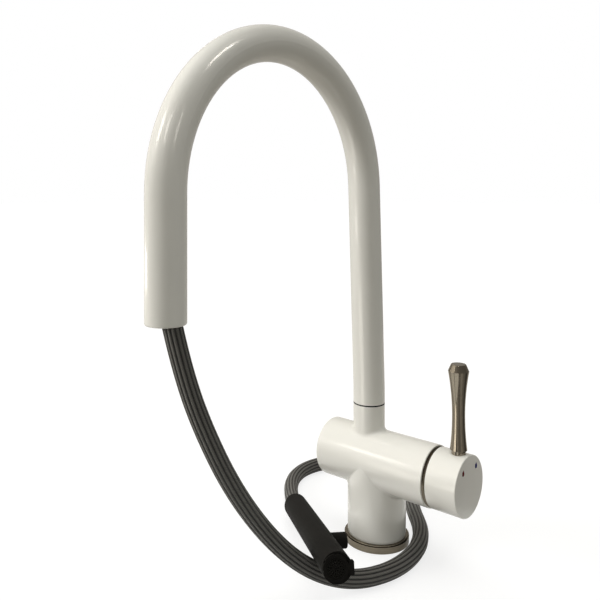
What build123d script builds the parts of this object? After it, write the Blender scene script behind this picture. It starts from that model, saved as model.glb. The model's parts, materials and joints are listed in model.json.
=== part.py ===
from build123d import *
import math
import os

# Kitchen mixer tap with a swan-neck spout, a side handle and a pull-out spray head.
# Millimetres, +Z up. The origin is on the base axis at the worktop, the spout points
# along -Y and the handle lies on +X.

# Worktop ring and gasket
ring_r = 28.5
ring_h = 7.0
ring_seat_h = 2.5
ring_step = 0.9
ring_step_h = 1.4
gasket_h = 1.5
gasket_in_r = 23.6
gasket_out_r = 27.2

# Body: an upright base under a barrel that lies along X, and a neck on top
barrel_r = 25.75
barrel_z = 71.5
barrel_left = 49.0
barrel_right = 58.5
base_inset = 0.05
neck_x = -8.0
neck_top = 120.0
junction_fillet = 4.0
barrel_end_round = 1.8
barrel_mouth_round = 0.5
recess_r = 22.6
recess_top = 25.0

# Water ways and fixings in the body
inlet_x = 8.0
inlet_y = 9.0
port_shift = 1.0
outlet_port_x = 14.5
port_r = 4.5
port_depth = 12.0
way_r = 3.5
mixed_way_r = 3.0
mixed_way_x = 12.5
stud_y = 15.5
stud_r = 3.4
stud_depth = 14.0

# Swivel between the neck and the spout
swivel_gap = 0.3
spigot_r = 10.5
spigot_bore_r = 8.5
spigot_plug_h = 9.0
bush_r = 11.3
bush_floor = 85.0
bush_h = 7.0
bush_running = 0.05
press_fit = 0.05
oring_wire_r = 0.8
oring_running = 0.05
oring_z = 97.0
oring_pitch = 4.5
stop_z = 108.5
stop_screw_r = 1.6
stop_depth = 1.2
stop_turn = 75.0

# Spout: sleeve, leaning leg, arch and outlet leg
spout_r = 14.0
spout_wall = 1.5
spout_reach = 236.0
arch_inset = 4.0
arch_z = 310.0
sleeve_bend_z = 134.0
sleeve_bend_r = 150.0
outlet_z = 224.0
outlet_round = 1.2
outlet_sleeve_low = 228.0
outlet_sleeve_h = 30.0
outlet_sleeve_wall = 1.25

# Hose: the braided pull-out hose, whole from its tail to the spray head
hose_r = 7.0
hose_bore_gap = 1.5
tail_r = 9.2
tail_gap = 0.1
tail_low = 17.0
tail_top = 33.0
tail_bore_r = 4.0
run_share = 0.45
plumb_drop = 20.0
hose_start = (-6.8, -231.8, outlet_z)
hose_corners = [
    (-7.0, -223.5, 194.5),
    (-1.5, -211.0, 154.0),
    (1.5, -183.0, 101.0),
    (0.5, -140.5, 49.0),
    (12.0, -109.0, 19.0),
    (32.0, -83.0, 8.0),
    (46.5, -48.5, 7.0),
    (46.0, -9.5, 7.0),
    (31.5, 25.5, 7.0),
    (3.0, 57.5, 7.0),
    (-31.0, 106.0, 7.0),
    (-63.0, 124.0, 7.0),
    (-98.0, 120.0, 7.0),
    (-125.0, 96.0, 7.0),
    (-134.0, 62.0, 7.0),
    (-124.0, 28.0, 7.0),
]
last_run = 25.0

# Spray head: lies propped on its own hose
head_rear = (-79.0, -19.5, 12.0)
head_front = (57.4, -136.5, 49.0)
head_r = 10.75
head_wall = 1.2
head_shoulder = 5.0
head_hose_gap = 0.4
hose_entry = 3.0
ferrule_r = 6.9
ferrule_h = 13.0
swivel_nut_r = 8.2
swivel_nut_h = 8.0
hose_water_r = 3.5
rear_bush_low = 4.0
rear_bush_h = 6.0
head_gap = 0.3
stem_r = 4.0
stem_bore_r = 3.0
stem_running = 0.1
check_valve_r = 6.5
check_valve_low = 34.0
check_valve_h = 14.0
button_at = 120.0
button_r = 6.0
button_end = 21.3
button_root = 7.9
button_round = 1.3
button_gap = 0.25
button_stem_r = 2.5
button_travel = 2.0
valve_r = 9.3
valve_half = 10.0
valve_flat = 5.5
spool_r = 3.0
spool_running = 0.08
spool_tail = -4.0
valve_bore_end = -8.0
spring_wall = 0.7
nozzle_shift = 1.2
nozzle_r = 9.3
nozzle_proud = 1.5
nozzle_spigot_r = 8.2
nozzle_spigot_h = 5.0
nozzle_bore_r = 7.0
nozzle_notches = 6
nozzle_notch_r = 1.2
nozzle_notch_turn = 30.0
spray_plate_h = 1.4
spray_plate_sunk = 0.4
spray_hole_r = 0.45
spray_ring_pitch = 1.75
spray_rings = 3
spray_ring_turn = 10.0
screen_h = 0.6
screen_holes = 8
seal_h = 1.2
tab_end = 11.7
tab_half = 4.7
tab_h = 3.0

# Cartridge, all on the barrel's axis
chamber_r = 17.75
chamber_floor = 18.0
cartridge_r = 17.5
cartridge_base_h = 5.0
nut_seat = 45.0
nut_bore_r = 20.0
nut_r = 19.7
nut_h = 11.0
nut_socket_depth = 5.0
nut_socket_r = 16.0
port_ring_r = 9.4
seat_port_r = 3.0
port_seal_r = 4.9
port_seal_in_r = 3.5
port_seal_h = 1.2
locating_pin_r = 1.5
locating_pin_h = 2.5
locating_pin_drop = 13.0
locating_pin_gap = 0.2
fixed_disc_r = 13.5
moving_disc_r = 11.5
disc_h = 4.0
disc_gap = 0.05
mixing_pocket_r = 8.0
mixing_pocket_h = 2.2
carrier_h = 4.4
housing_bore_r = 14.2
housing_shoulder = 36.5
housing_neck_r = 13.5
housing_neck_end = 52.0
guide_bore_r = 11.0
guide_gap = 0.4
guide_low = 37.0
guide_high = 44.5
pivot_x = 40.0
pivot_pin_r = 1.5
pivot_pin_gap = 0.08
ball_r = 3.0
ball_gap = 0.3
spindle_neck_r = 2.0
spindle_side = 7.0
spindle_end = 82.0
slot_gap = 0.35

# Trim collar in the gap behind the handle
collar_back_r = 24.7
collar_slope = 0.875
collar_end = 62.3
collar_bore_r = 17.0
collar_spigot_gap = 0.1

# Handle: cap, lever and marks
cap_r = 25.0
cap_wall = 2.5
cap_back = 61.7
cap_face = 88.4
cap_face_wall = 3.0
cap_round = 0.8
tilt_limit = 9.0
tilt_clear = 0.3
hub_r = 9.0
hub_back = 64.0
socket_gap = 0.05
grub_x = 76.0
grub_r = 2.4
grub_gap = 0.1
grub_h = 5.2
lever_x = 79.0
lever_stud_r = 3.0
lever_stud_low = 77.0
lever_plug_low = 91.0
lever_plug_r = 5.75
lever_fit = 0.05
lever_flare_z = 99.5
lever_flare_r = 6.9
lever_waist_z = 127.0
lever_waist_r = 5.2
lever_wide_z = 163.7
lever_wide_r = 8.45
lever_top_z = 169.3
lever_top_r = 6.0
lever_top_round = 0.6
mark_w = 2.2
mark_h = 4.2
mark_depth = 0.5
mark_gap = 0.02
mark_y = 11.3
mark_z = 13.5

# Sizes that follow from those above
base_r = barrel_r - base_inset
arch_r = spout_reach / 2 - arch_inset
spout_bore_r = spout_r - spout_wall
spout_start = neck_top + swivel_gap
hose_passage_r = hose_r + hose_bore_gap
tail_bore_clear_r = tail_r + tail_gap
spigot_low = bush_floor + 2 * swivel_gap
head_bore_r = head_r - head_wall

ON_BARREL = Pos(0, 0, barrel_z) * Rot(0, 90, 0)
AT_NECK = Pos(neck_x, 0, 0)

parts = {}


def rod(radius, low, high):
    """Round bar along Z between two heights."""
    return Pos(0, 0, low) * Cylinder(radius, high - low, align=(Align.CENTER, Align.CENTER, Align.MIN))


def tube(outer, inner, low, high):
    """Round tube along Z between two heights."""
    return rod(outer, low, high) - rod(inner, low, high)


def block(x, y, z):
    """Box between two limits on each axis."""
    box = Box(x[1] - x[0], y[1] - y[0], z[1] - z[0], align=Align.MIN)
    return Pos(x[0], y[0], z[0]) * box


def around(radius, count, start=0.0):
    """Points evenly round a circle."""
    for k in range(count):
        angle = math.radians(start + 360.0 * k / count)
        yield radius * math.cos(angle), radius * math.sin(angle)


def turned(points):
    """Solid turned about Z from corner points given as radius and height."""
    profile = Plane.XZ * make_face(Polyline(*points, close=True))
    return revolve(profile, Axis.Z)


# Base ring and gasket
def make_base_ring():
    """Steel ring with a stepped lip, a seat for the body and a groove for the gasket."""
    lip_r = ring_r - ring_step
    ring = rod(ring_r, 0, ring_h - ring_step_h) + rod(lip_r, ring_h - ring_step_h, ring_h)
    ring = fillet(ring.edges().filter_by(GeomType.CIRCLE).group_by(Axis.Z)[-1], 0.3)
    ring -= rod(recess_r, 0, ring_h)
    ring -= rod(base_r + press_fit, ring_seat_h, ring_h)
    ring -= tube(gasket_out_r, gasket_in_r, 0, gasket_h)
    return ring


def make_base_gasket():
    """Flat seal in the groove under the ring."""
    return tube(gasket_out_r, gasket_in_r, 0, gasket_h)


# Body
def body_outside():
    """Base, barrel and neck, blended where they meet."""
    barrel = Pos(-barrel_left, 0, barrel_z) * Rot(0, 90, 0) * rod(barrel_r, 0, barrel_left + barrel_right)
    base = rod(base_r, ring_seat_h, barrel_z)
    neck = AT_NECK * rod(spout_r, barrel_z, neck_top)
    solid = base + barrel + neck
    seams = solid.edges().filter_by(GeomType.BSPLINE)
    solid = fillet(seams.filter_by(lambda edge: edge.center().Z < barrel_z), junction_fillet)
    seams = solid.edges().filter_by(GeomType.BSPLINE)
    neck_foot = barrel_z + barrel_r / 2
    neck_seams = seams.filter_by(lambda edge: neck_foot < edge.center().Z < neck_top - 5)
    solid = fillet(neck_seams, junction_fillet)
    ends = solid.edges().filter_by(GeomType.CIRCLE).filter_by(lambda edge: abs(edge.radius - barrel_r) < 0.01)
    solid = fillet(ends.group_by(Axis.X)[0], barrel_end_round)
    ends = solid.edges().filter_by(GeomType.CIRCLE).filter_by(lambda edge: abs(edge.radius - barrel_r) < 0.01)
    return fillet(ends.group_by(Axis.X)[-1], barrel_mouth_round)


def port_places():
    """Hot, cold and mixed port centres, as Y and height off the barrel's axis."""
    drop = math.sqrt(port_ring_r**2 - (inlet_y - port_shift) ** 2)
    return {
        "hot": (-(inlet_y - port_shift), -drop),
        "cold": (inlet_y - port_shift, -drop),
        "mixed": (0.0, port_ring_r),
    }


def body_ways():
    """Everything that is bored out of the body."""
    neck_hole = AT_NECK * rod(bush_r, bush_floor, neck_top)
    hose_way = AT_NECK * rod(hose_passage_r, recess_top, neck_top)
    tail_seat = AT_NECK * rod(tail_bore_clear_r, recess_top, tail_top + tail_gap)
    cut = rod(recess_r, 0, recess_top) + neck_hole + hose_way + tail_seat
    places = port_places()
    for side in ("hot", "cold"):
        y, dz = places[side]
        y_way = math.copysign(inlet_y, y)
        level = barrel_z + dz
        cut += Pos(inlet_x, y_way, 0) * rod(port_r, recess_top, recess_top + port_depth)
        cut += Pos(inlet_x, y_way, 0) * rod(way_r, recess_top, level)
        cut += Pos(0, y, level) * Rot(0, 90, 0) * rod(way_r, inlet_x - way_r, chamber_floor)
    mixed_z = barrel_z + places["mixed"][1]
    cut += Pos(outlet_port_x, 0, 0) * rod(port_r, recess_top, recess_top + port_depth)
    cut += Pos(mixed_way_x, 0, 0) * rod(mixed_way_r, recess_top, mixed_z)
    cut += Pos(0, 0, mixed_z) * Rot(0, 90, 0) * rod(mixed_way_r, mixed_way_x - mixed_way_r, chamber_floor)
    for side in (-1, 1):
        cut += Pos(neck_x, side * stud_y, 0) * rod(stud_r, recess_top, recess_top + stud_depth)
    cut += ON_BARREL * rod(chamber_r, chamber_floor, barrel_right)
    cut += ON_BARREL * rod(nut_bore_r, nut_seat, barrel_right)
    pin_hole = rod(locating_pin_r + press_fit, chamber_floor - locating_pin_h - locating_pin_gap, chamber_floor)
    cut += ON_BARREL * Pos(locating_pin_drop, 0, 0) * pin_hole
    screw_hole = Pos(neck_x, 0, stop_z) * Rot(-90, 0, 0) * rod(stop_screw_r + press_fit, 0, spout_r + 1)
    return cut + screw_hole


def make_mixer_body():
    """One brass casting: outside less its bores."""
    return body_outside() - body_ways()


# Swivel
def make_swivel_bush(low):
    """Plain bearing ring pressed into the neck."""
    return AT_NECK * tube(bush_r - press_fit, spigot_r + bush_running, low, low + bush_h)


def oring_levels():
    """Heights of the two seals on the spigot."""
    return [oring_z + k * oring_pitch for k in range(2)]


def oring_centre_r():
    """Radius of the seal's centre circle."""
    return bush_r - oring_running - oring_wire_r


def make_spigot():
    """Stepped tube under the spout that turns in the neck."""
    solid = rod(spigot_r, spigot_low, spout_start)
    solid += rod(spout_bore_r - press_fit, spout_start, spout_start + spigot_plug_h)
    solid -= rod(spigot_bore_r, spigot_low, spout_start + spigot_plug_h)
    groove_r = oring_centre_r() - oring_wire_r - press_fit
    for level in oring_levels():
        low = level - oring_wire_r - press_fit
        solid -= tube(spigot_r + 1, groove_r, low, level + oring_wire_r + press_fit)
    slot_half = stop_screw_r + 0.3
    slot = tube(spigot_r + 1, spigot_r - stop_depth, stop_z - slot_half, stop_z + slot_half)
    reach = 2 * spigot_r
    rest = Pos(0, 0, stop_z - slot_half) * wedge(stop_turn, reach, 2 * slot_half)
    return AT_NECK * (solid - (slot & rest))


def wedge(half_angle, reach, height):
    """Sector about +Y, as wide as twice the half angle, standing on Z = 0."""
    a = math.radians(half_angle)
    left = (-reach * math.sin(a), reach * math.cos(a))
    right = (reach * math.sin(a), reach * math.cos(a))
    edge = Polyline(right, (0, 0), left) + ThreePointArc(left, (0, reach), right)
    return extrude(make_face(edge), height)


def make_oring(level):
    """Round seal in a groove of the spigot."""
    return AT_NECK * Pos(0, 0, level) * Torus(oring_centre_r(), oring_wire_r)


def make_stop_screw():
    """Screw from the back of the neck into the spigot's slot."""
    tip = spigot_r - stop_depth + 0.2
    screw = Rot(-90, 0, 0) * rod(stop_screw_r, tip, spout_r - 0.4)
    return Pos(neck_x, 0, stop_z) * screw


# Spout
def spout_points():
    """Named points of the spout's axis, as Y and Z in the plane of the neck."""
    arch_y = spout_reach - arch_r
    rise = arch_z - sleeve_bend_z
    lean = math.atan2(arch_y, rise) - math.asin(arch_r / math.hypot(arch_y, rise))
    tangent = sleeve_bend_r * math.tan(lean / 2)
    bend_low = sleeve_bend_z - tangent
    arch_mid = (lean + math.pi) / 2
    return {
        "bend_low": (0.0, bend_low),
        "bend_mid": (
            sleeve_bend_r * (math.cos(lean / 2) - 1),
            bend_low + sleeve_bend_r * math.sin(lean / 2),
        ),
        "bend_high": (-tangent * math.sin(lean), sleeve_bend_z + tangent * math.cos(lean)),
        "arch_low": (arch_r * math.cos(lean) - arch_y, arch_z + arch_r * math.sin(lean)),
        "arch_mid": (arch_r * math.cos(arch_mid) - arch_y, arch_z + arch_r * math.sin(arch_mid)),
        "arch_end": (-spout_reach, arch_z),
    }


def spout_edges(start_z):
    """Edges of the spout's axis from a height in the sleeve to the end of the arch."""
    at = {name: (neck_x, y, z) for name, (y, z) in spout_points().items()}
    return [
        Line((neck_x, 0, start_z), at["bend_low"]),
        ThreePointArc(at["bend_low"], at["bend_mid"], at["bend_high"]),
        Line(at["bend_high"], at["arch_low"]),
        ThreePointArc(at["arch_low"], at["arch_mid"], at["arch_end"]),
    ]


def swept(radius, path):
    """Round bar along a path."""
    return sweep(Plane(path @ 0, z_dir=path % 0) * Circle(radius), path=path)


def make_spout_tube():
    """Bent tube from the swivel seam to the outlet."""
    down = Line((neck_x, -spout_reach, arch_z), (neck_x, -spout_reach, outlet_z))
    path = Wire([edge for piece in [*spout_edges(spout_start), down] for edge in piece.edges()])
    outer = swept(spout_r, path)
    rim = outer.edges().filter_by(GeomType.CIRCLE).filter_by(lambda edge: abs(edge.center().Z - outlet_z) < 0.1)
    return fillet(rim, outlet_round) - swept(spout_bore_r, path)


def make_outlet_sleeve():
    """Liner above the outlet that the spray head docks in."""
    outer = spout_bore_r - press_fit
    sleeve = tube(outer, outer - outlet_sleeve_wall, outlet_sleeve_low, outlet_sleeve_low + outlet_sleeve_h)
    return Pos(neck_x, -spout_reach, 0) * sleeve


# Hose
def head_axis():
    """Unit vector from the rear of the spray head to its face."""
    return (Vector(*head_front) - Vector(*head_rear)).normalized()


def route_radii(points):
    """Radius of each corner's arc: as large as the shorter of its runs allows."""
    radii = []
    for before, corner, after in zip(points, points[1:], points[2:]):
        run_in = Vector(*corner) - Vector(*before)
        run_out = Vector(*after) - Vector(*corner)
        half_turn = math.radians(run_in.get_angle(run_out)) / 2
        radii.append(run_share * min(run_in.length, run_out.length) / math.tan(half_turn))
    return radii


def free_points():
    """Route of the free hose from the outlet over the worktop into the spray head."""
    rear = Vector(*head_rear)
    line_up = rear - head_axis() * (last_run - hose_entry)
    end = rear + head_axis() * hose_entry
    return [hose_start, *hose_corners, tuple(line_up), tuple(end)]


def inner_points():
    """Route of the hose from the end of the arch to the outlet, eased to its slant there."""
    start = Vector(*hose_start)
    slant = (start - Vector(*hose_corners[0])).normalized()
    meet = start + slant * ((-spout_reach - start.Y) / slant.Y)
    plumb = (neck_x, -spout_reach, arch_z - plumb_drop)
    return [(neck_x, -spout_reach, arch_z), plumb, tuple(meet), hose_start]


def make_hose_free_run():
    """Free hose, printed with its radii and its volume against section times length."""
    points = free_points()
    radii = route_radii(points)
    path = Wire(FilletPolyline(*points, radius=radii).edges())
    solid = swept(hose_r, path)
    expected = math.pi * hose_r**2 * path.length
    print("free hose radii", [round(radius, 1) for radius in radii])
    print("free hose length", round(path.length, 1), "volume ratio", round(solid.volume / expected, 5))
    return solid


def make_hose_spout_run():
    """Hose inside the spout, on the spout's own axis until the outlet."""
    points = inner_points()
    tail = FilletPolyline(*points, radius=route_radii(points))
    pieces = [*spout_edges(spout_start), tail]
    path = Wire([edge for piece in pieces for edge in piece.edges()])
    solid = swept(hose_r, path)
    expected = math.pi * hose_r**2 * path.length
    print("inner hose length", round(path.length, 1), "volume ratio", round(solid.volume / expected, 5))
    return solid


def make_hose_riser_run():
    """Hose through the body, from its tail coupling to the swivel seam."""
    return AT_NECK * rod(hose_r, tail_top, neck_top)


def make_tail_coupling():
    """Threaded end of the hose at the bottom of the body."""
    solid = rod(tail_r, recess_top, tail_top) + rod(tail_r - 1.6, tail_low, recess_top)
    return AT_NECK * (solid - rod(tail_bore_r, tail_low, tail_top))


# Spray head, modelled along its own axis with its button towards local X
def head_place():
    """Location of the spray head: rear centre, axis to the face, button level."""
    axis = head_axis()
    side = Vector(0, 0, 1).cross(axis).normalized()
    return Plane(origin=head_rear, x_dir=side, z_dir=axis).location


head_length = (Vector(*head_front) - Vector(*head_rear)).length
shell_length = head_length - nozzle_proud
ferrule_top = hose_entry + ferrule_h
nut_top = ferrule_top + swivel_nut_h
AT_HEAD = head_place()
AT_NOZZLE = Pos(-nozzle_shift, 0, 0)
ON_BUTTON = Pos(0, 0, button_at) * Rot(0, 90, 0)


def make_head_shell():
    """Thin shell with a rounded rear, a hose hole, a button hole and a front wall."""
    outer = rod(head_r, 0, shell_length)
    outer = fillet(outer.edges().group_by(Axis.Z)[0], head_shoulder)
    outer = fillet(outer.edges().filter_by(GeomType.CIRCLE).group_by(Axis.Z)[-1], 0.4)
    inner = rod(head_bore_r, head_wall + 0.6, shell_length - nozzle_spigot_h)
    inner = fillet(inner.edges().group_by(Axis.Z)[0], head_shoulder - head_wall)
    shell = outer - inner - rod(hose_r + head_hose_gap, -1, head_shoulder)
    shell -= ON_BUTTON * rod(button_r + button_gap, 0, head_r + 1)
    shell -= AT_NOZZLE * rod(nozzle_spigot_r + press_fit, shell_length - nozzle_spigot_h - 1, shell_length)
    seat = tab_seat(mark_gap)
    return shell - seat


def tab_seat(gap):
    """Space of the tab beside the nozzle, widened by a gap."""
    inner = nozzle_r - nozzle_shift
    x = (inner, tab_end + gap)
    y = (-tab_half - gap, tab_half + gap)
    return block(x, y, (head_length - tab_h - gap, head_length))


def make_nozzle_tab():
    """Finger tab at the rim of the face, on the button's side."""
    tab = tab_seat(0.0)
    corners = tab.edges().filter_by(Axis.Z).group_by(Axis.X)[-1]
    return fillet(corners, 1.0)


def make_rear_bush():
    """Guide ring behind the shell's shoulder, round the hose end."""
    clear = hose_r + head_hose_gap
    return tube(head_bore_r - press_fit, clear, head_shoulder, head_shoulder + rear_bush_h)


def make_hose_ferrule():
    """Crimped sleeve on the hose end."""
    solid = tube(ferrule_r, hose_water_r, hose_entry, ferrule_top)
    for k in range(3):
        level = hose_entry + 3.0 + 3.0 * k
        solid -= tube(ferrule_r + 1, ferrule_r - 0.3, level, level + 1.0)
    return solid


def make_swivel_nut():
    """Union nut that the spray head turns on."""
    nut = extrude(RegularPolygon(swivel_nut_r, 6), swivel_nut_h)
    nut = Pos(0, 0, ferrule_top) * nut
    return nut - rod(stem_r + stem_running, ferrule_top, nut_top)


def make_inlet_stem():
    """Stem that stands in the union nut and carries its flange washer."""
    low = ferrule_top + 2.0
    stem = rod(stem_r, low, check_valve_low) + rod(stem_r + 2.5, nut_top + head_gap + seal_h, check_valve_low)
    return stem - rod(stem_bore_r, low, check_valve_low)


def make_stem_washer():
    """Flat washer between the union nut and the stem's flange."""
    return tube(stem_r + 2.5, stem_r + press_fit, nut_top + head_gap, nut_top + head_gap + seal_h)


def make_check_valve():
    """Check valve body with three guide fins round its bore."""
    top = check_valve_low + check_valve_h
    valve = rod(check_valve_r, check_valve_low, top)
    for level in (check_valve_low + 3.0, top - 5.0):
        valve -= tube(check_valve_r + 1, check_valve_r - 0.8, level, level + 2.0)
    fins = Sketch() + Circle(stem_bore_r)
    for k in range(3):
        fins -= Rot(0, 0, 120 * k) * Pos(stem_bore_r, 0) * Rectangle(2 * stem_bore_r - 1.0, 0.8)
    return valve - Pos(0, 0, check_valve_low) * extrude(fins, check_valve_h)


def make_waterway_tube():
    """Tube from the check valve to the diverter."""
    return tube(stem_r, stem_bore_r, check_valve_low + check_valve_h, button_at - valve_half)


def make_valve_block():
    """Diverter block with a cross bore for its spool and an outlet to the nozzle."""
    low = button_at - valve_half
    high = button_at + valve_half
    body = rod(valve_r, low, high) - block((valve_flat, 2 * valve_r), (-valve_r, valve_r), (low, high))
    body += rod(stem_r + 1.5, high, shell_length - nozzle_spigot_h - seal_h)
    body -= rod(stem_bore_r, low, shell_length)
    return body - ON_BUTTON * rod(spool_r + spool_running, valve_bore_end, valve_flat)


def make_diverter_button():
    """Push button standing out of the shell, with its stem."""
    cap = rod(button_r, button_root, button_end)
    cap = fillet(cap.edges().group_by(Axis.Z)[-1], button_round)
    cap = cap + rod(button_stem_r, valve_flat, button_root)
    return ON_BUTTON * cap


def make_diverter_spool():
    """Spool under the button, with one waist for the water."""
    spool = rod(spool_r, spool_tail, valve_flat) - tube(spool_r + 1, spool_r - 1.2, -1.5, 1.5)
    return ON_BUTTON * spool


def make_button_spring():
    """Return spring at the end of the spool's bore, as its closed envelope."""
    end = spool_tail - button_travel - head_gap
    return ON_BUTTON * tube(spool_r - 0.3, spool_r - 0.3 - spring_wall, valve_bore_end, end)


def make_nozzle_ring():
    """Rim of the face with notches, and the spigot that holds it."""
    ring = rod(nozzle_r, shell_length, head_length)
    ring += rod(nozzle_spigot_r, shell_length - nozzle_spigot_h, shell_length)
    ring -= rod(nozzle_bore_r, shell_length - nozzle_spigot_h, head_length)
    for x, y in around(nozzle_r + nozzle_notch_r / 2, nozzle_notches, nozzle_notch_turn):
        ring -= Pos(x, y, 0) * rod(nozzle_notch_r, shell_length, head_length)
    return AT_NOZZLE * ring


def make_spray_plate():
    """Face plate with rings of fine holes."""
    top = head_length - spray_plate_sunk
    low = top - spray_plate_h
    face = Circle(nozzle_bore_r - press_fit) - Circle(spray_hole_r)
    for ring in range(1, spray_rings + 1):
        for x, y in around(ring * spray_ring_pitch, 6 * ring, spray_ring_turn * ring):
            face -= Pos(x, y) * Circle(spray_hole_r)
    return AT_NOZZLE * Pos(0, 0, low) * extrude(face, spray_plate_h)


def make_flow_screen():
    """Screen behind the face plate, with a ring of slots."""
    top = head_length - spray_plate_sunk - spray_plate_h - 1.5
    face = Circle(nozzle_bore_r - press_fit)
    for k in range(screen_holes):
        face -= Rot(0, 0, 360 * k / screen_holes) * Pos(nozzle_bore_r / 2, 0) * SlotOverall(3.2, 1.1)
    return AT_NOZZLE * Pos(0, 0, top - screen_h) * extrude(face, screen_h)


def make_nozzle_seal():
    """Seal between the diverter's outlet and the nozzle."""
    high = shell_length - nozzle_spigot_h
    return tube(stem_r + 1.5, stem_bore_r, high - seal_h, high)


# Cartridge
def make_cartridge_base():
    """Bottom of the cartridge: three ports, grooves for their seals and a locating pin."""
    top = chamber_floor + cartridge_base_h
    disc = rod(cartridge_r, chamber_floor, top)
    for y, dz in port_places().values():
        disc -= Pos(-dz, y, 0) * rod(seat_port_r, chamber_floor, top)
        disc -= Pos(-dz, y, 0) * rod(port_seal_r + press_fit, chamber_floor, chamber_floor + port_seal_h)
    pin = Pos(locating_pin_drop, 0, 0) * rod(locating_pin_r, chamber_floor - locating_pin_h, chamber_floor)
    return ON_BARREL * (disc + pin)


def make_port_seal(name):
    """Ring seal round one port."""
    y, dz = port_places()[name]
    seal = tube(port_seal_r, port_seal_in_r, chamber_floor, chamber_floor + port_seal_h)
    return ON_BARREL * Pos(-dz, y, 0) * seal


def make_fixed_disc():
    """Ceramic disc that stands still, with its three ports."""
    low = chamber_floor + cartridge_base_h
    disc = rod(fixed_disc_r, low, low + disc_h)
    for y, dz in port_places().values():
        disc -= Pos(-dz, y, 0) * rod(seat_port_r, low, low + disc_h)
    return ON_BARREL * disc


def moving_low():
    """Distance along the barrel where the moving disc starts."""
    return chamber_floor + cartridge_base_h + disc_h + disc_gap


def ball_place():
    """Distance along the barrel of the centre of the spindle's ball, seated on the moving disc."""
    return moving_low() + disc_h + ball_r + ball_gap


def make_moving_disc():
    """Ceramic disc with the mixing pocket on the side of the fixed one."""
    low = moving_low()
    disc = rod(moving_disc_r, low, low + disc_h)
    pocket = Pos(-1.5, 0, 0) * rod(mixing_pocket_r, low, low + mixing_pocket_h)
    return ON_BARREL * (disc - pocket)


def make_disc_carrier():
    """Carrier on the moving disc, with the seat of the spindle's ball."""
    low = moving_low() + disc_h
    carrier = rod(moving_disc_r, low, low + carrier_h)
    return ON_BARREL * (carrier - rod(ball_r + ball_gap, low, low + carrier_h))


def make_cartridge_housing():
    """Housing over the discs, with the neck that the lever guide turns in."""
    low = chamber_floor + cartridge_base_h
    housing = rod(cartridge_r, low, nut_seat) + rod(housing_neck_r, nut_seat, housing_neck_end)
    housing -= rod(housing_bore_r, low, housing_shoulder)
    return ON_BARREL * (housing - rod(guide_bore_r, housing_shoulder, housing_neck_end))


def make_cartridge_nut():
    """Nut that holds the cartridge down, with a hexagon socket."""
    top = nut_seat + nut_h
    nut = tube(nut_r, housing_neck_r + 0.2, nut_seat, top)
    socket = extrude(RegularPolygon(nut_socket_r, 6, major_radius=False), nut_socket_depth)
    return ON_BARREL * (nut - Pos(0, 0, top - nut_socket_depth) * socket)


def make_lever_guide():
    """Ring that turns with the lever and carries its pivot pin."""
    guide = rod(guide_bore_r - guide_gap, guide_low, guide_high)
    half_y = spindle_side / 2 + slot_gap
    half_z = spindle_side / 2 + slot_gap + (guide_high - pivot_x) * math.sin(math.radians(tilt_limit))
    guide -= block((-half_z, half_z), (-half_y, half_y), (guide_low, guide_high))
    pin_hole = Rot(90, 0, 0) * Cylinder(pivot_pin_r, 4 * guide_bore_r)
    return ON_BARREL * (guide - Pos(0, 0, pivot_x) * pin_hole)


def make_pivot_pin():
    """Pin across the guide that the spindle tilts on."""
    length = 2 * math.sqrt((guide_bore_r - guide_gap) ** 2 - pivot_pin_r**2) - 0.4
    return Pos(pivot_x, 0, barrel_z) * Rot(90, 0, 0) * Cylinder(pivot_pin_r, length)


def make_spindle():
    """Spindle with its ball, pivot block and square end."""
    ball_x = ball_place()
    half = spindle_side / 2
    shank = rod(spindle_neck_r, ball_x, pivot_x)
    square = block((-half, half), (-half, half), (pivot_x - half, spindle_end))
    solid = Pos(0, 0, ball_x) * Sphere(ball_r) + shank + square
    pin_hole = Rot(90, 0, 0) * Cylinder(pivot_pin_r + pivot_pin_gap, 2 * spindle_side)
    return ON_BARREL * (solid - Pos(0, 0, pivot_x) * pin_hole)


# Trim collar
def make_trim_collar():
    """Conical steel collar seen in the gap, with a spigot in the barrel's mouth."""
    front_r = collar_back_r - collar_slope * (collar_end - barrel_right)
    spigot = nut_bore_r - collar_spigot_gap
    low = nut_seat + nut_h
    points = [
        (collar_bore_r, low),
        (spigot, low),
        (spigot, barrel_right),
        (collar_back_r, barrel_right),
        (front_r, collar_end),
        (collar_bore_r, collar_end),
    ]
    return ON_BARREL * turned(points)


# Handle
def tilt_relief():
    """Space that the tilted cap may not enter, drawn where the cap is at rest."""
    reach = 3 * cap_r
    space = block((-reach, reach), (-reach, reach), (-reach, 0))
    face = barrel_right + tilt_clear - pivot_x
    tilted = Rot(0, 90 - tilt_limit, 0) * Pos(0, 0, face) * space
    return Pos(pivot_x, 0, barrel_z) * tilted


def make_handle_cap():
    """Hollow cap with a hub for the spindle, a hole for the lever and the grub screw's way."""
    cap = rod(cap_r, cap_back, cap_face)
    cap = fillet(cap.edges().filter_by(GeomType.CIRCLE).group_by(Axis.Z)[-1], cap_round)
    cap -= rod(cap_r - cap_wall, cap_back, cap_face - cap_face_wall)
    cap += rod(hub_r, hub_back, cap_face - cap_face_wall)
    half = spindle_side / 2 + socket_gap
    cap -= block((-half, half), (-half, half), (hub_back, spindle_end + socket_gap))
    cap = ON_BARREL * cap
    lever_way = rod(lever_plug_r + lever_fit, barrel_z + hub_r, barrel_z + 2 * cap_r)
    lever_way += rod(lever_stud_r + lever_fit, lever_stud_low, barrel_z + cap_r)
    cap -= Pos(lever_x, 0, 0) * lever_way
    cap -= Pos(grub_x, 0, barrel_z) * Rot(180, 0, 0) * rod(grub_r + grub_gap, 0, 2 * cap_r)
    for side in (-1, 1):
        cap -= mark_solid(side, mark_gap)
    return cap - tilt_relief()


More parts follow.
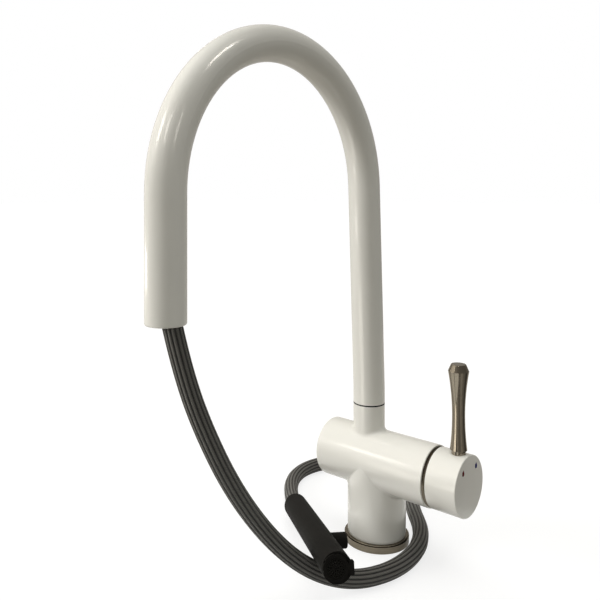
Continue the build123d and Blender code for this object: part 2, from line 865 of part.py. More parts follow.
def mark_solid(side, gap):
    """Slot-shaped mark in the end face, widened by a gap."""
    slot = SlotOverall(mark_h + 2 * gap, mark_w + 2 * gap)
    slot = extrude(slot, mark_depth)
    return Pos(cap_face - mark_depth, side * mark_y, barrel_z + mark_z) * Rot(0, 90, 0) * slot


def make_lever():
    """Lever: stud, plug, waisted grip and a bevelled top, turned in one piece."""
    lower = TangentArc((lever_waist_r, lever_waist_z), (lever_flare_r, lever_flare_z), tangent=(0, -1))
    upper = TangentArc((lever_waist_r, lever_waist_z), (lever_wide_r, lever_wide_z), tangent=(0, 1))
    foot = Polyline(
        (lever_flare_r, lever_flare_z),
        (lever_plug_r, lever_flare_z),
        (lever_plug_r, lever_plug_low),
        (lever_stud_r, lever_plug_low),
        (lever_stud_r, lever_stud_low),
        (0, lever_stud_low),
        (0, lever_top_z),
        (lever_top_r, lever_top_z),
        (lever_wide_r, lever_wide_z),
    )
    profile = Plane.XZ * make_face(lower + upper + foot)
    lever = revolve(profile, Axis.Z)
    rim = lever.edges().filter_by(GeomType.CIRCLE).filter_by(lambda edge: abs(edge.center().Z - lever_top_z) < 0.01)
    return Pos(lever_x, 0, 0) * fillet(rim, lever_top_round)


def make_grub_screw():
    """Screw from below the cap onto the spindle's flat."""
    seat = spindle_side / 2
    screw = rod(grub_r, seat, seat + grub_h) - Pos(0, 0, seat + grub_h - 2) * extrude(RegularPolygon(1.4, 6), 2)
    return Pos(grub_x, 0, barrel_z) * Rot(180, 0, 0) * screw


parts["base_ring"] = make_base_ring()
parts["base_gasket"] = make_base_gasket()
parts["mixer_body"] = make_mixer_body()
parts["lower_swivel_bush"] = make_swivel_bush(bush_floor)
parts["upper_swivel_bush"] = make_swivel_bush(neck_top - bush_h)
parts["swivel_stop_screw"] = make_stop_screw()
parts["spout_spigot"] = make_spigot()
for number, level in enumerate(oring_levels(), start=1):
    parts[f"spigot_oring_{number}"] = make_oring(level)
parts["spout_tube"] = make_spout_tube()
parts["outlet_sleeve"] = make_outlet_sleeve()

parts["hose_tail_coupling"] = make_tail_coupling()
parts["hose_riser_run"] = make_hose_riser_run()
parts["hose_spout_run"] = make_hose_spout_run()
parts["hose_free_run"] = make_hose_free_run()
parts["hose_ferrule"] = AT_HEAD * make_hose_ferrule()
parts["hose_swivel_nut"] = AT_HEAD * make_swivel_nut()

parts["spray_head_shell"] = AT_HEAD * make_head_shell()
parts["head_rear_bush"] = AT_HEAD * make_rear_bush()
parts["head_inlet_stem"] = AT_HEAD * make_inlet_stem()
parts["head_stem_washer"] = AT_HEAD * make_stem_washer()
parts["head_check_valve"] = AT_HEAD * make_check_valve()
parts["head_waterway_tube"] = AT_HEAD * make_waterway_tube()
parts["diverter_block"] = AT_HEAD * make_valve_block()
parts["diverter_button"] = AT_HEAD * make_diverter_button()
parts["diverter_spool"] = AT_HEAD * make_diverter_spool()
parts["diverter_spring"] = AT_HEAD * make_button_spring()
parts["nozzle_ring"] = AT_HEAD * make_nozzle_ring()
parts["nozzle_spray_plate"] = AT_HEAD * make_spray_plate()
parts["nozzle_flow_screen"] = AT_HEAD * make_flow_screen()
parts["nozzle_seal"] = AT_HEAD * make_nozzle_seal()
parts["nozzle_tab"] = AT_HEAD * make_nozzle_tab()

parts["cartridge_base"] = make_cartridge_base()
for name in port_places():
    parts[f"{name}_port_seal"] = make_port_seal(name)
parts["fixed_ceramic_disc"] = make_fixed_disc()
parts["moving_ceramic_disc"] = make_moving_disc()
parts["disc_carrier"] = make_disc_carrier()
parts["cartridge_housing"] = make_cartridge_housing()
parts["cartridge_nut"] = make_cartridge_nut()
parts["lever_guide"] = make_lever_guide()
parts["lever_pivot_pin"] = make_pivot_pin()
parts["cartridge_spindle"] = make_spindle()

parts["trim_collar"] = make_trim_collar()
parts["handle_cap"] = make_handle_cap()
parts["handle_lever"] = make_lever()
parts["handle_grub_screw"] = make_grub_screw()
parts["hot_mark"] = mark_solid(-1, 0.0)
parts["cold_mark"] = mark_solid(1, 0.0)

os.makedirs("parts", exist_ok=True)
for name, shape in parts.items():
    export_step(shape, f"parts/{name}.step")
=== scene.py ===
"""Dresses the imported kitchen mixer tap: finishes, hose, seam ring, temperature marks, studio and camera."""

import json
import logging
import math
from dataclasses import dataclass, field
from enum import Enum
from typing import Callable, Iterable, Mapping, Sequence

import bmesh
import bpy
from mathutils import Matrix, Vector

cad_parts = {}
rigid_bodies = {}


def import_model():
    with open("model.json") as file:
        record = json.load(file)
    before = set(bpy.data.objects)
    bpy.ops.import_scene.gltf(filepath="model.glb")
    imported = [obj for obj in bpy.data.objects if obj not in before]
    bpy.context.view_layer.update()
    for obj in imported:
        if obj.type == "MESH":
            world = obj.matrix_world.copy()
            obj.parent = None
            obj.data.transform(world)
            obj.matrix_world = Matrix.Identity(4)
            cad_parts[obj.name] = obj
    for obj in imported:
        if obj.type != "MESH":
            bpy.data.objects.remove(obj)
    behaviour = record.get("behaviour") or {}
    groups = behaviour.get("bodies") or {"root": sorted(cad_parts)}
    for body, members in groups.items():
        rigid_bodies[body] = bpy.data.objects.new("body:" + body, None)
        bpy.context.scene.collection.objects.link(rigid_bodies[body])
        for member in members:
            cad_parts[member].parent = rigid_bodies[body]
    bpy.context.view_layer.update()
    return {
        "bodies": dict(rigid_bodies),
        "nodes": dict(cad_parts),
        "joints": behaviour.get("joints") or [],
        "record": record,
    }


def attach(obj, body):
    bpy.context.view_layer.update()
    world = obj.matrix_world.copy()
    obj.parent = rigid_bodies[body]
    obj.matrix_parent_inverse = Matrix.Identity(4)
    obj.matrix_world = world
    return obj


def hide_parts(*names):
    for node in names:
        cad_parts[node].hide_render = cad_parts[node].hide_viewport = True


LOG = logging.getLogger("tap")
MM = 0.001

# The sRGB curve: a straight foot up to the knee, then a power
SRGB_KNEE = 0.04045
SRGB_SLOPE = 12.92
SRGB_OFFSET = 0.055
SRGB_POWER = 2.4

# Octaves of the noise in a finish: few in a grain, more in tones and most in lines
GRAIN_OCTAVES = 2.0
TONE_OCTAVES = 3.0
LINE_OCTAVES = 4.0

# Steps of an eased edge, and the angle above which an edge stays sharp
BEVEL_STEPS = 2
SMOOTH_ANGLE_DEG = 40.0

# A face is level when its normal has more than this on Z
LEVEL_NORMAL = 0.9

# Radius of the hose, and how many bands run along its braid
HOSE_RADIUS_MM = 7.0
HOSE_BANDS = 14

# Hose route: the points that control the CAD hose's curve, in metres
HOSE_ROUTE: tuple[tuple[float, float, float], ...] = (
    (-0.0068, -0.2318, 0.2240),
    (-0.0070, -0.2235, 0.1945),
    (-0.0015, -0.2110, 0.1540),
    (0.0015, -0.1830, 0.1010),
    (0.0005, -0.1405, 0.0490),
    (0.0120, -0.1090, 0.0190),
    (0.0320, -0.0830, 0.0080),
    (0.0465, -0.0485, 0.0070),
    (0.0460, -0.0095, 0.0070),
    (0.0315, 0.0255, 0.0070),
    (0.0030, 0.0575, 0.0070),
    (-0.0310, 0.1060, 0.0070),
    (-0.0630, 0.1240, 0.0070),
    (-0.0980, 0.1200, 0.0070),
    (-0.1250, 0.0960, 0.0070),
    (-0.1340, 0.0620, 0.0070),
    (-0.1240, 0.0280, 0.0070),
    (-0.0954, -0.0055, 0.0076),
    (-0.0768, -0.0214, 0.0126),
)

# Spot on the barrel at which two of the panels aim
BARREL_SPOT = (0.02, 0.0, 0.09)

Colour = tuple[float, float, float, float]
Inputs = Mapping[str | int, object]


class Slot(Enum):
    """Material slots of the record."""

    ENAMEL = "white_enamel"
    SATIN_STEEL = "satin_steel"
    FIXING_STEEL = "fixing_steel"
    BRASS = "brass"
    BLACK_PLASTIC = "black_plastic"
    INNER_PLASTIC = "inner_plastic"
    CERAMIC = "ceramic_disc"
    RUBBER = "seal_rubber"
    BRAID = "hose_braid"
    HOT = "hot_red"
    COLD = "cold_blue"


class Grain(Enum):
    """Which way the lines of a steel piece run, as the scale of their pattern on X, Y and Z."""

    ROUND_Z = (0.02, 0.02, 1.0)
    ROUND_X = (1.0, 0.02, 0.02)
    ALONG_Z = (1.0, 1.0, 0.02)
    PLAIN = (1.0, 1.0, 1.0)


class MeshPart(Enum):
    """Kind of mesh part that is selected, with the name of its list."""

    FACE = "faces"
    EDGE = "edges"


def linear(hex_colour: str) -> Colour:
    """Turns an sRGB hex colour into linear RGBA.

    Args:
        hex_colour: Six hex digits.

    Returns:
        Red, green, blue and an alpha of 1, in linear light.
    """
    values = []
    for start in (0, 2, 4):
        level = int(hex_colour[start : start + 2], 16) / 255
        if level <= SRGB_KNEE:
            values.append(level / SRGB_SLOPE)
        else:
            values.append(((level + SRGB_OFFSET) / (1 + SRGB_OFFSET)) ** SRGB_POWER)
    return (*values, 1.0)


def scaled(tone: Sequence[float], share: float) -> Colour:
    """Makes a tone darker or lighter, up to full white."""
    return (*(min(1.0, share * value) for value in tone[:3]), 1.0)


@dataclass
class Recipe:
    """Nodes of a material or of the world, under construction."""

    block: bpy.types.Material | bpy.types.World

    def __post_init__(self) -> None:
        """Turns the nodes on."""
        self.block.use_nodes = True

    def own(self, name: str) -> bpy.types.Node:
        """Finds a node that every new material or world has."""
        return self.block.node_tree.nodes[name]

    def fill(self, node: bpy.types.Node, inputs: Inputs) -> None:
        """Links or sets a node's inputs.

        Args:
            node: Node to fill.
            inputs: For each input, by name or number, a value, a socket to link from, or a node
                that stands for its first output in use.
        """
        for key, source in inputs.items():
            if isinstance(source, bpy.types.Node):
                source = next(socket for socket in source.outputs if socket.enabled)
            if isinstance(source, bpy.types.NodeSocket):
                self.block.node_tree.links.new(source, node.inputs[key])
            else:
                node.inputs[key].default_value = source

    def add(
        self,
        kind: str,
        inputs: Inputs | None = None,
        stops: Sequence[tuple[float, Colour]] = (),
        **settings: object,
    ) -> bpy.types.Node:
        """Adds a node with its settings and links.

        Args:
            kind: Node type without its ShaderNode prefix.
            inputs: Values and links of its inputs.
            stops: Positions and linear colours of a colour ramp.
            **settings: Properties of the node itself.

        Returns:
            The new node.
        """
        node = self.block.node_tree.nodes.new("ShaderNode" + kind)
        for name, value in settings.items():
            setattr(node, name, value)
        if stops:
            elements = node.color_ramp.elements
            elements[0].position, elements[0].color = stops[0]
            elements[1].position, elements[1].color = stops[-1]
            for position, colour in stops[1:-1]:
                elements.new(position).color = colour
        self.fill(node, inputs or {})
        return node

    def millimetres(self) -> bpy.types.Node:
        """Adds Object coordinates that count in millimetres."""
        place = self.add("TexCoord").outputs["Object"]
        return self.add("VectorMath", {0: place, "Scale": 1 / MM}, operation="SCALE")

    def finish(self, inputs: Inputs) -> bpy.types.Material:
        """Fills the material's one Principled shader and hands the material over."""
        self.fill(self.own("Principled BSDF"), inputs)
        return self.block


# Polyester enamel sprayed on brass and baked: a warm white with a satin body and a clear, soft-edged
# gloss. Its peel of about 1.6 mm is so shallow that it only loosens the edges of reflections.
@dataclass(frozen=True)
class EnamelFinish:
    """Warm white enamel with a satin gloss and a very fine peel."""

    colour: str = "EEECE4"
    darker: float = 0.985
    shade_mm: float = 18.0
    shade_from: float = 0.3
    shade_to: float = 0.7
    roughness: float = 0.42
    smoother: float = 0.02
    rougher: float = 0.03
    gloss_mm: float = 9.0
    coat_roughness: float = 0.17
    peel_mm: float = 1.6
    peel_depth_mm: float = 0.0006

    def build(self) -> bpy.types.Material:
        """Builds the material.

        Returns:
            The material.
        """
        recipe = Recipe(bpy.data.materials.new("warm_white_enamel"))
        where = recipe.millimetres()
        tone = linear(self.colour)
        shade = recipe.add("TexNoise", {"Vector": where, "Scale": 1 / self.shade_mm, "Detail": TONE_OCTAVES})
        stops = ((self.shade_from, scaled(tone, self.darker)), (self.shade_to, tone))
        colour = recipe.add("ValToRGB", {"Fac": shade}, stops)
        spots = recipe.add("TexNoise", {"Vector": where, "Scale": 1 / self.gloss_mm, "Detail": TONE_OCTAVES})
        low = self.roughness - self.smoother
        high = self.roughness + self.rougher
        gloss = recipe.add("MapRange", {"Value": spots, "To Min": low, "To Max": high})
        peel = recipe.add("TexNoise", {"Vector": where, "Scale": 1 / self.peel_mm, "Detail": GRAIN_OCTAVES})
        depth = self.peel_depth_mm * MM
        bump = recipe.add("Bump", {"Height": peel, "Distance": depth, "Strength": 1.0})
        return recipe.finish(
            {
                "Base Color": colour,
                "Roughness": gloss,
                "Normal": bump,
                "Coat Weight": 1.0,
                "Coat Roughness": self.coat_roughness,
            }
        )


# Stainless steel, turned or brushed to a satin: fine lines that draw a highlight out across them.
# The real lines are under 0.1 mm apart, so they are drawn coarser, at 0.22 mm, to show at all.
@dataclass(frozen=True)
class SteelFinish:
    """Satin steel with fine lines one way."""

    name: str = "satin_steel_turned"
    colour: str = "A8A091"
    dark: str = "8A8173"
    roughness: float = 0.22
    grain: Grain = Grain.ROUND_Z
    line_mm: float = 0.22
    line_depth_mm: float = 0.01
    spread: float = 0.05
    # The rough side of the spread reaches this many times as far as the smooth side
    rougher_spreads: float = 1.5
    dark_from: float = 0.3
    light_from: float = 0.7
    line_strength: float = 0.6

    def build(self) -> bpy.types.Material:
        """Builds the material.

        Returns:
            The material.
        """
        recipe = Recipe(bpy.data.materials.new(self.name))
        where = recipe.add("Mapping", {"Vector": recipe.millimetres(), "Scale": self.grain.value})
        lines = recipe.add("TexNoise", {"Vector": where, "Scale": 1 / self.line_mm, "Detail": LINE_OCTAVES})
        stops = ((self.dark_from, linear(self.dark)), (self.light_from, linear(self.colour)))
        colour = recipe.add("ValToRGB", {"Fac": lines}, stops)
        low = self.roughness - self.spread
        high = self.roughness + self.rougher_spreads * self.spread
        gloss = recipe.add("MapRange", {"Value": lines, "To Min": low, "To Max": high})
        depth = self.line_depth_mm * MM
        bump = recipe.add("Bump", {"Height": lines, "Distance": depth, "Strength": self.line_strength})
        return recipe.finish({"Base Color": colour, "Roughness": gloss, "Normal": bump, "Metallic": 1.0})


# Brass cut on a lathe: a yellow metal, a little dull and uneven from the tool.
# The tool's marks are drawn at 0.6 mm, coarser than the real ones, to show on the small inner pieces.
@dataclass(frozen=True)
class BrassFinish:
    """Machined brass with tool marks."""

    colour: str = "C9A866"
    darker: float = 0.82
    dark_from: float = 0.25
    light_from: float = 0.75
    roughness: float = 0.3
    smoother: float = 0.06
    rougher: float = 0.1
    mark_mm: float = 0.6
    mark_depth_mm: float = 0.012
    mark_strength: float = 0.5

    def build(self) -> bpy.types.Material:
        """Builds the material.

        Returns:
            The material.
        """
        recipe = Recipe(bpy.data.materials.new("machined_brass"))
        where = recipe.millimetres()
        marks = recipe.add("TexNoise", {"Vector": where, "Scale": 1 / self.mark_mm, "Detail": TONE_OCTAVES})
        tone = linear(self.colour)
        stops = ((self.dark_from, scaled(tone, self.darker)), (self.light_from, tone))
        colour = recipe.add("ValToRGB", {"Fac": marks}, stops)
        low = self.roughness - self.smoother
        high = self.roughness + self.rougher
        gloss = recipe.add("MapRange", {"Value": marks, "To Min": low, "To Max": high})
        depth = self.mark_depth_mm * MM
        bump = recipe.add("Bump", {"Height": marks, "Distance": depth, "Strength": self.mark_strength})
        return recipe.finish({"Base Color": colour, "Roughness": gloss, "Normal": bump, "Metallic": 1.0})


# Moulded in a spark-eroded tool, lapped or printed: one even colour whose fine grain breaks the
# highlight up. A real grain of 0.1 mm or less is drawn at 0.2 mm or more, so that it shows.
@dataclass(frozen=True)
class GrainedFinish:
    """Plain material with a fine, even grain."""

    name: str
    colour: str
    roughness: float
    grain_mm: float = 0.35
    grain_depth_mm: float = 0.02
    specular: float = 0.5
    lighter: float = 1.25
    shade_mm: float = 14.0
    shade_from: float = 0.3
    shade_to: float = 0.75
    smoother: float = 0.05
    rougher: float = 0.08
    grain_strength: float = 0.7

    def build(self) -> bpy.types.Material:
        """Builds the material.

        Returns:
            The material.
        """
        recipe = Recipe(bpy.data.materials.new(self.name))
        where = recipe.millimetres()
        grain = recipe.add("TexNoise", {"Vector": where, "Scale": 1 / self.grain_mm, "Detail": GRAIN_OCTAVES})
        shade = recipe.add("TexNoise", {"Vector": where, "Scale": 1 / self.shade_mm, "Detail": TONE_OCTAVES})
        tone = linear(self.colour)
        stops = ((self.shade_from, tone), (self.shade_to, scaled(tone, self.lighter)))
        colour = recipe.add("ValToRGB", {"Fac": shade}, stops)
        low = self.roughness - self.smoother
        high = self.roughness + self.rougher
        gloss = recipe.add("MapRange", {"Value": grain, "To Min": low, "To Max": high})
        depth = self.grain_depth_mm * MM
        bump = recipe.add("Bump", {"Height": grain, "Distance": depth, "Strength": self.grain_strength})
        return recipe.finish(
            {"Base Color": colour, "Roughness": gloss, "Normal": bump, "Specular IOR Level": self.specular}
        )


# Polyester yarn braided over a hose: crossing grey strands, a dark line between each two bands, and
# no gloss. The real strands are well under 1 mm wide and are drawn at 1.5 mm, so that they show.
@dataclass(frozen=True)
class BraidFinish:
    """Grey textile braid with darker lengthwise lines, read from a UV map in millimetres."""

    strand: str = "72706B"
    shadow: str = "2E2D2A"
    line: str = "060605"
    shadow_from: float = 0.15
    strand_from: float = 0.85
    stitch_mm: float = 1.5
    bands: int = HOSE_BANDS
    girth_mm: float = 2 * math.pi * HOSE_RADIUS_MM
    # Above 1 the dark line is broader
    line_edge: float = 1.3
    weave_share: float = 0.45
    relief_mm: float = 0.35
    relief_strength: float = 0.9
    roughness: float = 0.55
    sheen: float = 0.05
    sheen_roughness: float = 0.4

    def build(self) -> bpy.types.Material:
        """Builds the material: two crossing sets of strands and a dark line between bands.

        Returns:
            The material.
        """
        recipe = Recipe(bpy.data.materials.new("grey_polyester_braid"))
        place = recipe.add("SeparateXYZ", {0: recipe.add("TexCoord").outputs["UV"]}).outputs
        left = self.strands(recipe, place["X"], place["Y"], 1.0)
        right = self.strands(recipe, place["X"], place["Y"], -1.0)
        weave = recipe.add("Math", {0: left, 1: right}, operation="MAXIMUM")
        band = self.band(recipe, place["X"])
        stops = ((self.shadow_from, linear(self.shadow)), (self.strand_from, linear(self.strand)))
        yarn = recipe.add("ValToRGB", {"Fac": weave}, stops)
        tones = {"Factor": band, "A": linear(self.line), "B": yarn}
        colour = recipe.add("Mix", tones, data_type="RGBA")
        height = recipe.add("Math", {0: weave, 1: self.weave_share, 2: band}, operation="MULTIPLY_ADD")
        depth = self.relief_mm * MM
        bump = recipe.add("Bump", {"Height": height, "Distance": depth, "Strength": self.relief_strength})
        return recipe.finish(
            {
                "Base Color": colour,
                "Normal": bump,
                "Roughness": self.roughness,
                "Sheen Weight": self.sheen,
                "Sheen Roughness": self.sheen_roughness,
            }
        )

    def strands(
        self, recipe: Recipe, around: bpy.types.NodeSocket, along: bpy.types.NodeSocket, turn: float
    ) -> bpy.types.Node:
        """Height of one set of strands, which lean one way round the hose.

        Args:
            recipe: The material's recipe.
            around: Distance round the hose in millimetres.
            along: Distance along the hose in millimetres.
            turn: 1 or -1 for the lean.

        Returns:
            Node that gives the height, from 0 to 1.
        """
        lean = recipe.add("Math", {0: around, 1: turn, 2: along}, operation="MULTIPLY_ADD")
        phase = recipe.add("Math", {0: lean, 1: 2 * math.pi / self.stitch_mm}, operation="MULTIPLY")
        sine = recipe.add("Math", {0: phase}, operation="SINE")
        # A sine runs from -1 to 1: half of it, raised by a half, runs from 0 to 1
        return recipe.add("Math", {0: sine, 1: 0.5, 2: 0.5}, operation="MULTIPLY_ADD")

    def band(self, recipe: Recipe, around: bpy.types.NodeSocket) -> bpy.types.Node:
        """Height that is 1 on a band and falls to 0 at the line between two bands.

        Args:
            recipe: The material's recipe.
            around: Distance round the hose in millimetres.

        Returns:
            Node that gives the height, from 0 to 1.
        """
        turns = math.pi * self.bands / self.girth_mm
        phase = recipe.add("Math", {0: around, 1: turns}, operation="MULTIPLY")
        sine = recipe.add("Math", {0: phase}, operation="SINE")
        size = recipe.add("Math", {0: sine}, operation="ABSOLUTE")
        return recipe.add("Math", {0: size, 1: self.line_edge}, operation="POWER")


Finish = EnamelFinish | SteelFinish | BrassFinish | GrainedFinish | BraidFinish

SLOT_FINISHES: dict[Slot, Finish] = {
    Slot.ENAMEL: EnamelFinish(),
    Slot.SATIN_STEEL: SteelFinish(),
    # Zinc-plated screws and springs: plain grey, without lines that run one way
    Slot.FIXING_STEEL: SteelFinish(
        "zinc_plated_steel", "B4B4B2", "8C8C8A", roughness=0.3, grain=Grain.PLAIN, line_mm=0.5
    ),
    Slot.BRASS: BrassFinish(),
    # ABS from a matt tool: black with next to no highlight
    Slot.BLACK_PLASTIC: GrainedFinish(
        "matt_black_abs", "131210", 0.72, grain_mm=0.3, grain_depth_mm=0.02, specular=0.10
    ),
    # Acetal, from a smoother tool: pale and a little waxy
    Slot.INNER_PLASTIC: GrainedFinish("pale_acetal", "D8D7D2", 0.38),
    # Alumina discs lapped flat: pale and nearly polished
    Slot.CERAMIC: GrainedFinish("lapped_ceramic", "EAE6DC", 0.16, grain_mm=0.2, grain_depth_mm=0.004),
    # Nitrile rubber pressed in a mould: dull black
    Slot.RUBBER: GrainedFinish(
        "black_nitrile_rubber", "121211", 0.6, grain_mm=0.5, grain_depth_mm=0.03, specular=0.15
    ),
    Slot.BRAID: BraidFinish(),
    # Lacquer printed on the handle's end face: small dull drops of dark red and dark blue
    Slot.HOT: GrainedFinish(
        "hot_red_lacquer", "5C0012", 0.5, grain_mm=0.3, grain_depth_mm=0.004, specular=0.05
    ),
    Slot.COLD: GrainedFinish(
        "cold_blue_lacquer", "0A0660", 0.5, grain_mm=0.3, grain_depth_mm=0.004, specular=0.05
    ),
}

# Steel nodes whose lines run another way or whose polish is their own; the collar's and the ring's darker
# tones are painted shade
STEEL_FINISHES: dict[str, SteelFinish] = {
    # Collar: a darker copy of the satin steel, painted shade for the recess between the barrel's end and the
    # handle's cap
    "trim_collar": SteelFinish("satin_steel_collar", "7E776B", "5C554B", grain=Grain.ROUND_X),
    "handle_lever": SteelFinish(
        "satin_steel_lever", roughness=0.07, grain=Grain.ALONG_Z, line_depth_mm=0.0015, spread=0.015
    ),
    # Base ring: a darker copy of the satin steel; its darker tone is painted shade, standing in for the dark
    # that the ring reflects round the foot
    "base_ring": SteelFinish("satin_steel_ring", "8C8475", "6B6458", roughness=0.14),
}


@dataclass
class Workshop:
    """The finishes of all slots, built once."""

    materials: dict[Slot, bpy.types.Material] = field(default_factory=dict)

    def open(self) -> None:
        """Builds every slot's material."""
        self.materials = {slot: finish.build() for slot, finish in SLOT_FINISHES.items()}

    def dress(self, piece: bpy.types.Object, slot: Slot) -> None:
        """Gives a piece one finish."""
        piece.data.materials.clear()
        piece.data.materials.append(self.materials[slot])


def deselect_all() -> None:
    """Leaves edit mode and deselects every object."""
    if bpy.context.object and bpy.context.object.mode != "OBJECT":
        bpy.ops.object.mode_set(mode="OBJECT")
    bpy.ops.object.select_all(action="DESELECT")


def select_parts(
    piece: bpy.types.Object,
    part: MeshPart,
    wanted: Callable[[bmesh.types.BMFace | bmesh.types.BMEdge], bool],
) -> None:
    """Enters edit mode and selects a piece's faces or edges by their place or normal.

    Args:
        piece: Active object in object mode.
        part: What is selected.
        wanted: Test that says which of them.
    """
    bpy.ops.object.mode_set(mode="EDIT")
    bpy.ops.mesh.select_all(action="DESELECT")
    bpy.ops.mesh.select_mode(type=part.name)
    shape = bmesh.from_edit_mesh(piece.data)
    for element in getattr(shape, part.value):
        element.select = wanted(element)
    bmesh.update_edit_mesh(piece.data)


def ease_edges(piece: bpy.types.Object, width: float) -> None:
    """Bevels a piece's edges and shades it smooth between the sharp ones.

    Args:
        piece: Active object in object mode.
        width: Width of the bevel.
    """
    bevel = piece.modifiers.new("eased_edges", "BEVEL")
    bevel.width = width
    bevel.segments = BEVEL_STEPS
    bpy.ops.object.modifier_apply(modifier=bevel.name)
    bpy.ops.object.shade_smooth_by_angle(angle=math.radians(SMOOTH_ANGLE_DEG))


@dataclass
class PullOutHose:
    """The braided hose from the outlet over the worktop into the spray head."""

    radius: float = HOSE_RADIUS_MM * MM
    bands: int = HOSE_BANDS
    sides_per_band: int = 8
    groove: float = 0.8 * MM
    # Below 1 the groove is narrow and the band beside it broad
    groove_power: float = 0.5
    ring_step: float = 1.6 * MM
    curve_order: int = 3
    curve_steps: int = 24
    # Stands in for the distance between two points of the line that coincide
    shortest_step: float = 1e-12
    body: str = "spout"

    def route(self) -> list[Vector]:
        """Points along the smooth curve that the route's points control.

        Returns:
            The points, from the outlet to the spray head.
        """
        curve = bpy.data.curves.new("hose_route", "CURVE")
        curve.dimensions = "3D"
        curve.resolution_u = self.curve_steps
        spline = curve.splines.new("NURBS")
        spline.points.add(len(HOSE_ROUTE) - 1)
        for point, place in zip(spline.points, HOSE_ROUTE):
            point.co = (*place, 1.0)
        spline.order_u = self.curve_order
        spline.use_endpoint_u = True
        carrier = bpy.data.objects.new("hose_route", curve)
        mesh = bpy.data.meshes.new_from_object(carrier)
        points = [vertex.co.copy() for vertex in mesh.vertices]
        bpy.data.objects.remove(carrier)
        bpy.data.curves.remove(curve)
        bpy.data.meshes.remove(mesh)
        return points

    def evenly(self, points: list[Vector]) -> list[Vector]:
        """Respaces points along a line at about one ring step.

        Args:
            points: Points of the line, at any spacing.

        Returns:
            Points at an even spacing, with the same ends.
        """
        lengths = [0.0]
        for before, after in zip(points, points[1:]):
            lengths.append(lengths[-1] + (after - before).length)
        count = max(2, round(lengths[-1] / self.ring_step))
        spaced = []
        at = 0
        for k in range(count + 1):
            target = lengths[-1] * k / count
            while at < len(lengths) - 2 and lengths[at + 1] < target:
                at += 1
            share = (target - lengths[at]) / max(self.shortest_step, lengths[at + 1] - lengths[at])
            spaced.append(points[at].lerp(points[at + 1], share))
        return spaced

    def section(self, step: int) -> float:
        """Radius of the hose at one side of its section, with a groove between bands."""
        phase = math.pi * step / self.sides_per_band
        return self.radius - self.groove * (1 - abs(math.sin(phase)) ** self.groove_power)

    def rings(self, mesh: bmesh.types.BMesh, line: list[Vector]) -> list[list[bmesh.types.BMVert]]:
        """Sets a ring of vertices round each point of a line, without twisting from ring to ring.

        Args:
            mesh: Mesh that takes the vertices.
            line: Middle line of the hose.

        Returns:
            The rings.
        """
        sides = self.bands * self.sides_per_band
        side = Vector((1, 0, 0))
        rings = []
        for index, centre in enumerate(line):
            ahead = line[min(index + 1, len(line) - 1)] - line[max(index - 1, 0)]
            ahead.normalize()
            side = (side - ahead * side.dot(ahead)).normalized()
            up = ahead.cross(side)
            ring = []
            for k in range(sides):
                angle = 2 * math.pi * k / sides
                outwards = side * math.cos(angle) + up * math.sin(angle)
                ring.append(mesh.verts.new(centre + outwards * self.section(k)))
            rings.append(ring)
        return rings

    def skin(self, line: list[Vector]) -> bpy.types.Mesh:
        """Closed skin of the hose with a UV map in millimetres.

        Args:
            line: Middle line of the hose.

        Returns:
            The mesh.
        """
        mesh = bmesh.new()
        uv_layer = mesh.loops.layers.uv.new("braid")
        rings = self.rings(mesh, line)
        sides = len(rings[0])
        step_around = 2 * math.pi * self.radius / sides / MM
        step_along = self.ring_step / MM
        for index, (low, high) in enumerate(zip(rings, rings[1:])):
            for k in range(sides):
                face = mesh.faces.new((low[k], low[(k + 1) % sides], high[(k + 1) % sides], high[k]))
                face.smooth = True
                places = ((k, index), (k + 1, index), (k + 1, index + 1), (k, index + 1))
                for loop, (u, v) in zip(face.loops, places):
                    loop[uv_layer].uv = (u * step_around, v * step_along)
        mesh.faces.new(list(reversed(rings[0])))
        mesh.faces.new(rings[-1])
        data = bpy.data.meshes.new("braided_hose")
        mesh.to_mesh(data)
        mesh.free()
        return data

    def build(self, workshop: Workshop) -> bpy.types.Object:
        """Args:
            workshop: Finishes.

        Returns:
            The hose.
        """
        line = self.evenly(self.route())
        hose = bpy.data.objects.new("braided_hose", self.skin(line))
        bpy.context.collection.objects.link(hose)
        workshop.dress(hose, Slot.BRAID)
        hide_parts("hose_free_run")
        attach(hose, self.body)
        return hose


@dataclass
class SwivelSeam:
    """Dark rubber ring in the swivel seam: its black band, wider than the gap and just proud of the tube, is
    painted shade for the line between neck and spout.
    """

    middle: tuple[float, float] = (-8.0 * MM, 0.0)
    low: float = 119.55 * MM
    high: float = 120.85 * MM
    # Just proud of the neck's 14 mm tube and wider than the gap, so that its black band paints the seam's
    # shade
    outer: float = 14.03 * MM
    inner: float = 10.9 * MM
    edge: float = 0.15 * MM
    sides: int = 128

    def build(self, workshop: Workshop) -> bpy.types.Object:
        """Models the ring: a disc whose middle is inset and cut out, with eased edges.

        Args:
            workshop: Finishes.

        Returns:
            The ring.
        """
        deselect_all()
        bpy.ops.mesh.primitive_cylinder_add(
            vertices=self.sides,
            radius=self.outer,
            depth=self.high - self.low,
            location=(*self.middle, (self.high + self.low) / 2),
        )
        ring = bpy.context.object
        ring.name = "swivel_seam_ring"
        select_parts(ring, MeshPart.FACE, lambda face: abs(face.normal.z) > LEVEL_NORMAL)
        bpy.ops.mesh.inset(thickness=self.outer - self.inner)
        bpy.ops.mesh.bridge_edge_loops()
        bpy.ops.object.mode_set(mode="OBJECT")
        ease_edges(ring, self.edge)
        bpy.ops.object.transform_apply(location=True, rotation=True, scale=True)
        workshop.dress(ring, Slot.RUBBER)
        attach(ring, "mixer_base")
        return ring


